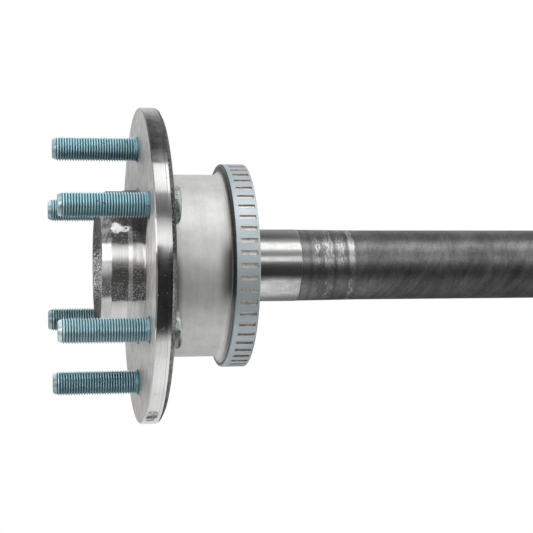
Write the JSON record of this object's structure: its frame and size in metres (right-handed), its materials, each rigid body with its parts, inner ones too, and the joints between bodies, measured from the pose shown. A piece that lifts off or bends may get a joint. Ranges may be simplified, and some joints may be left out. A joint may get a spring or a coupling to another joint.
{
  "type": "axle shaft",
  "caption": "Semi-floating rear axle shaft with an integral wheel flange, pressed wheel studs, a tone ring on a stepped sleeve, and a splined end with a clip groove.",
  "frame": {"origin": "centre of the wheel face, which is the flange's outboard face, on the shaft's axis", "axes": "+Z along the shaft from the wheel face to the splined end; -Z along the pilot and the studs' threads; a stud on +X"},
  "size_m": [0.1829, 0.183, 0.8949],
  "materials": {
    "forged_steel": "forging scale, with bright turned and ground seats",
    "sleeve_steel": "satin",
    "ring_steel": "pale blue zinc plate",
    "stud_steel": "blue-green zinc plate"
  },
  "bodies": {
    "root": {"axle_shaft": "forged_steel", "tone_ring_sleeve": "sleeve_steel", "tone_ring": "ring_steel", "wheel_stud_1": "stud_steel", "wheel_stud_2": "stud_steel", "wheel_stud_3": "stud_steel", "wheel_stud_4": "stud_steel", "wheel_stud_5": "stud_steel", "wheel_stud_6": "stud_steel"}
  },
  "joints": []
}
